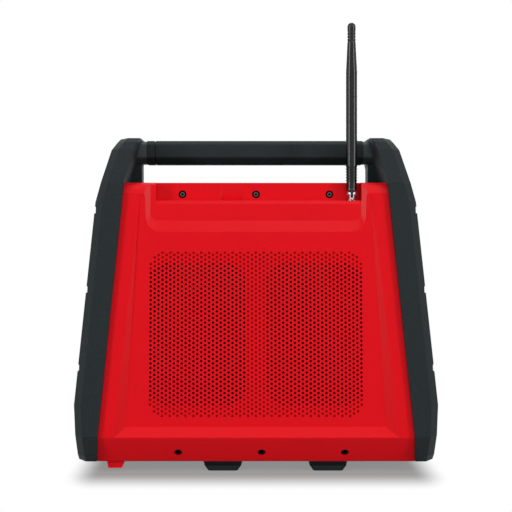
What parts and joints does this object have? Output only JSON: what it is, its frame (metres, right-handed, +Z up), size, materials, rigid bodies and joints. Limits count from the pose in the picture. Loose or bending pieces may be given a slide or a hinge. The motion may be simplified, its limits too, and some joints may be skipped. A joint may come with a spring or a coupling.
{
  "type": "jobsite radio",
  "caption": "Jobsite radio with red moulded covers, black bumpers, bar handle, perforated back, folding aerial, speakers, knobs, buttons and hinged hatches.",
  "frame": {"origin": "centre of the bounding box's underside, on the surface the feet stand on", "axes": "+Z up, +Y out of the control side, -Y out of the perforated back, +X to the right seen from behind"},
  "size_m": [0.275, 0.15, 0.345],
  "materials": {
    "red_plastic": "moulded satin",
    "black_plastic": "fine texture",
    "rubber": "matt moulded",
    "steel": "zinc plated",
    "black_steel": "black oxide",
    "chrome": "polished",
    "lens": "clear window",
    "display": "liquid crystal",
    "board": "solder resist",
    "cone": "coated paper",
    "magnet": "ferrite"
  },
  "bodies": {
    "case": {"rear_cover": "red_plastic", "rear_grille_left": "red_plastic", "rear_grille_rib": "red_plastic", "rear_grille_right": "red_plastic", "chassis": "black_plastic", "front_cover": "red_plastic", "end_cap_left": "rubber", "end_cap_right": "rubber", "end_cap_screws": "black_steel", "handle_tube": "steel", "handle_grip": "rubber", "handle_collar_left": "black_plastic", "handle_collar_right": "black_plastic", "handle_bolts": "black_steel", "rear_upper_screws": "black_steel", "rear_lower_screws": "black_steel", "feet": "rubber", "aerial_bush": "steel", "control_panel": "black_plastic", "display_lens": "lens", "display_module": "display", "control_board": "board", "encoders": "black_plastic", "speaker_grille_left": "black_steel", "speaker_grille_right": "black_steel", "speaker_frame_left": "black_steel", "speaker_frame_right": "black_steel", "speaker_cone_left": "cone", "speaker_cone_right": "cone", "speaker_magnet_left": "magnet", "speaker_magnet_right": "magnet", "radiator_frame_left": "black_plastic", "radiator_frame_right": "black_plastic", "radiator_cone_left": "cone", "radiator_cone_right": "cone", "main_board": "board", "battery_box": "black_plastic", "battery_contacts": "steel", "battery_door_pin": "steel", "aux_box": "black_plastic", "aux_sockets": "steel", "aux_door_pin": "steel"},
    "aerial_swivel": {"aerial_knuckle": "chrome", "aerial_pin": "chrome"},
    "aerial": {"aerial_ferrule": "chrome", "aerial_whip": "rubber"},
    "volume": {"volume_knob": "rubber", "volume_shaft": "steel"},
    "tuning": {"tuning_knob": "rubber", "tuning_shaft": "steel"},
    "battery_hatch": {"battery_door": "red_plastic"},
    "aux_hatch": {"aux_door": "rubber"},
    "power_button_body": {"power_button": "rubber"},
    "mode_button_body": {"mode_button": "rubber"},
    "preset_button_1_body": {"preset_button_1": "rubber"},
    "preset_button_2_body": {"preset_button_2": "rubber"},
    "preset_button_3_body": {"preset_button_3": "rubber"},
    "preset_button_4_body": {"preset_button_4": "rubber"}
  },
  "joints": [
    {"name": "aerial_turn", "type": "hinge", "parent": "case", "child": "aerial_swivel", "pos_m": [0.0743, -0.0467, 0.207], "axis": [0, 0, 1], "range_deg": [-90, 0]},
    {"name": "aerial_tilt", "type": "hinge", "parent": "aerial_swivel", "child": "aerial", "pos_m": [0.0743, -0.0467, 0.2118], "axis": [1, 0, 0], "range_deg": [0, 90]},
    {"name": "volume_turn", "type": "hinge", "parent": "case", "child": "volume", "pos_m": [-0.062, 0.05783, 0.18], "axis": [0, 0.9957, 0.0931], "continuous": true},
    {"name": "tuning_turn", "type": "hinge", "parent": "case", "child": "tuning", "pos_m": [0.062, 0.05783, 0.18], "axis": [0, 0.9957, 0.0931], "continuous": true},
    {"name": "battery_hatch_hinge", "type": "hinge", "parent": "case", "child": "battery_hatch", "pos_m": [0, 0.06954, 0.03765], "axis": [-1, 0, 0], "range_deg": [0, 100]},
    {"name": "aux_hatch_hinge", "type": "hinge", "parent": "case", "child": "aux_hatch", "pos_m": [0, 0.06234, 0.11465], "axis": [-1, 0, 0], "range_deg": [0, 100]},
    {"name": "power_button_press", "type": "slide", "parent": "case", "child": "power_button_body", "axis": [0, -0.9957, -0.0931], "range_m": [0, 0.0008], "stiffness_N_per_m": 600},
    {"name": "mode_button_press", "type": "slide", "parent": "case", "child": "mode_button_body", "axis": [0, -0.9957, -0.0931], "range_m": [0, 0.0008], "stiffness_N_per_m": 600},
    {"name": "preset_button_1_press", "type": "slide", "parent": "case", "child": "preset_button_1_body", "axis": [0, -0.9957, -0.0931], "range_m": [0, 0.0008], "stiffness_N_per_m": 600},
    {"name": "preset_button_2_press", "type": "slide", "parent": "case", "child": "preset_button_2_body", "axis": [0, -0.9957, -0.0931], "range_m": [0, 0.0008], "stiffness_N_per_m": 600},
    {"name": "preset_button_3_press", "type": "slide", "parent": "case", "child": "preset_button_3_body", "axis": [0, -0.9957, -0.0931], "range_m": [0, 0.0008], "stiffness_N_per_m": 600},
    {"name": "preset_button_4_press", "type": "slide", "parent": "case", "child": "preset_button_4_body", "axis": [0, -0.9957, -0.0931], "range_m": [0, 0.0008], "stiffness_N_per_m": 600}
  ]
}
